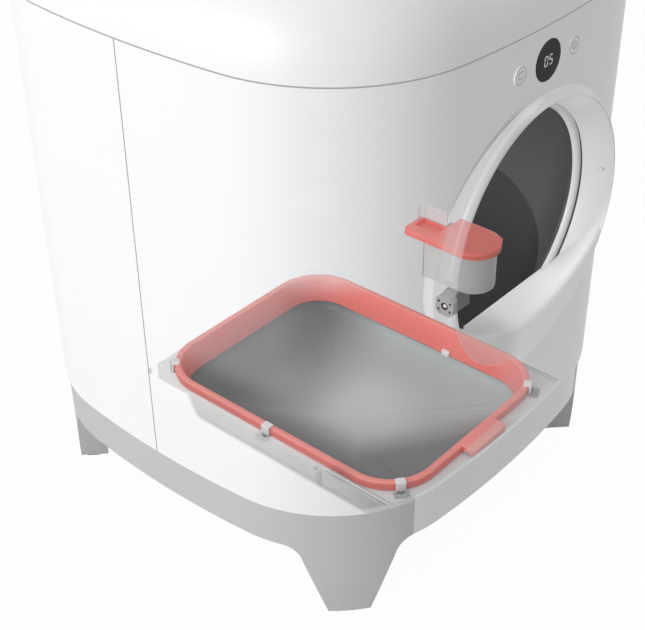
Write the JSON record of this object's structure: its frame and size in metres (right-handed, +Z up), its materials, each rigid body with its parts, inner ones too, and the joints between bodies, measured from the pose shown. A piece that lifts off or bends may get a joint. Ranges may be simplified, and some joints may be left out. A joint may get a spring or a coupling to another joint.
{
  "type": "self-cleaning litter box",
  "caption": "Rounded-square litter box with a round front entrance, a motor-turned drum inside, a waste drawer in its base and a lift-off domed top cover.",
  "frame": {"origin": "on the floor, in the middle of the casing seen from above", "axes": "+Z up, the round entrance and the drawer front face -Y, +X to the right of someone who looks along +Y"},
  "size_m": [0.504, 0.512, 0.646],
  "materials": {
    "white_casing": "moulded ABS, satin gloss white",
    "white_liner": "moulded ABS, satin white",
    "base_grey": "moulded ABS, matt warm grey",
    "foot_rubber": "soft rubber",
    "drum_plastic": "moulded PP, matt dark grey",
    "black_glass": "polished black acrylic",
    "button_white": "moulded ABS, fine texture",
    "sensor_dark": "infrared window plastic",
    "circuit_green": "solder-masked circuit board",
    "gear_nylon": "moulded nylon",
    "frame_plastic": "glass-filled nylon, matt grey",
    "steel": "zinc-plated steel",
    "motor_can": "plated steel can",
    "inlet_black": "moulded black nylon",
    "drawer_grey": "translucent light grey ABS",
    "bin_grey": "translucent pale grey PP",
    "coral": "moulded ABS, satin coral red",
    "clip_white": "moulded POM, white",
    "bag_film": "thin grey polythene film",
    "clear_plastic": "clear moulded PETG",
    "nozzle_grey": "moulded acetal, pale grey"
  },
  "bodies": {
    "housing": {"front_shell": "white_casing", "rear_shell": "white_casing", "rear_cover": "white_casing", "entrance_liner": "white_liner", "base_pedestal": "base_grey", "base_rear": "base_grey", "chassis_deck": "base_grey", "foot_pads": "foot_rubber", "display_disc": "black_glass", "entry_sensor": "sensor_dark", "waste_level_sensor": "sensor_dark", "display_board": "circuit_green", "main_board": "circuit_green", "button_switches": "circuit_green", "front_cradle": "frame_plastic", "rear_cradle": "frame_plastic", "bearing_plate": "frame_plastic", "left_runner": "frame_plastic", "right_runner": "frame_plastic", "flange_guides": "frame_plastic", "bottle_holder": "frame_plastic", "bottle_rest": "frame_plastic", "gearbox": "frame_plastic", "spray_pump": "frame_plastic", "rear_bearing": "steel", "deck_screws": "steel", "motor_bracket": "steel", "load_cells": "steel", "drive_motor": "motor_can", "power_inlet": "inlet_black", "bottle_cap": "coral", "deodorant_bottle": "clear_plastic", "cap_grip": "clear_plastic", "spray_nozzle": "nozzle_grey"},
    "drum": {"drum_rim": "white_liner", "drum_front_bowl": "drum_plastic", "drum_rear_bowl": "drum_plastic", "litter_screen": "drum_plastic", "rear_hub": "frame_plastic", "drum_gear": "gear_nylon"},
    "pinion": {"drive_pinion": "gear_nylon", "motor_shaft": "steel"},
    "left_roller_set": {"left_axle": "steel", "left_rollers": "gear_nylon"},
    "right_roller_set": {"right_axle": "steel", "right_rollers": "gear_nylon"},
    "drawer": {"drawer_tray": "drawer_grey", "drawer_bin": "bin_grey"},
    "bag_frame": {"bag_ring": "coral", "bag_clips": "clip_white", "waste_bag": "bag_film"},
    "cover": {"top_cover": "white_casing"},
    "left_key": {"left_button": "button_white"},
    "right_key": {"right_button": "button_white"}
  },
  "joints": [
    {"name": "drum_turn", "type": "hinge", "parent": "housing", "child": "drum", "pos_m": [0, 0, 0.365], "axis": [0, 1, 0], "continuous": true},
    {"name": "pinion_turn", "type": "hinge", "parent": "housing", "child": "pinion", "pos_m": [-0.16334, 0, 0.20166], "axis": [0, 1, 0], "continuous": true},
    {"name": "left_roller_turn", "type": "hinge", "parent": "housing", "child": "left_roller_set", "pos_m": [-0.12406, 0, 0.18782], "axis": [0, 1, 0], "continuous": true},
    {"name": "right_roller_turn", "type": "hinge", "parent": "housing", "child": "right_roller_set", "pos_m": [0.12406, 0, 0.18782], "axis": [0, 1, 0], "continuous": true},
    {"name": "drawer_slide", "type": "slide", "parent": "housing", "child": "drawer", "axis": [0, -1, 0], "range_m": [0, 0.34]},
    {"name": "bag_frame_lift", "type": "slide", "parent": "drawer", "child": "bag_frame", "axis": [0, 0, 1], "range_m": [0, 0.011]},
    {"name": "cover_lift", "type": "slide", "parent": "housing", "child": "cover", "axis": [0, 0, 1], "range_m": [0, 0.25]},
    {"name": "left_key_press", "type": "slide", "parent": "housing", "child": "left_key", "axis": [0, 1, 0], "range_m": [0, 0.0012], "stiffness_N_per_m": 400, "springref_m": -0.0005},
    {"name": "right_key_press", "type": "slide", "parent": "housing", "child": "right_key", "axis": [0, 1, 0], "range_m": [0, 0.0012], "stiffness_N_per_m": 400, "springref_m": -0.0005}
  ],
  "couplings": [
    {"joint": "pinion_turn", "follows": "drum_turn", "ratio": -8.625},
    {"joint": "left_roller_turn", "follows": "drum_turn", "ratio": -12.5},
    {"joint": "right_roller_turn", "follows": "drum_turn", "ratio": -12.5}
  ]
}
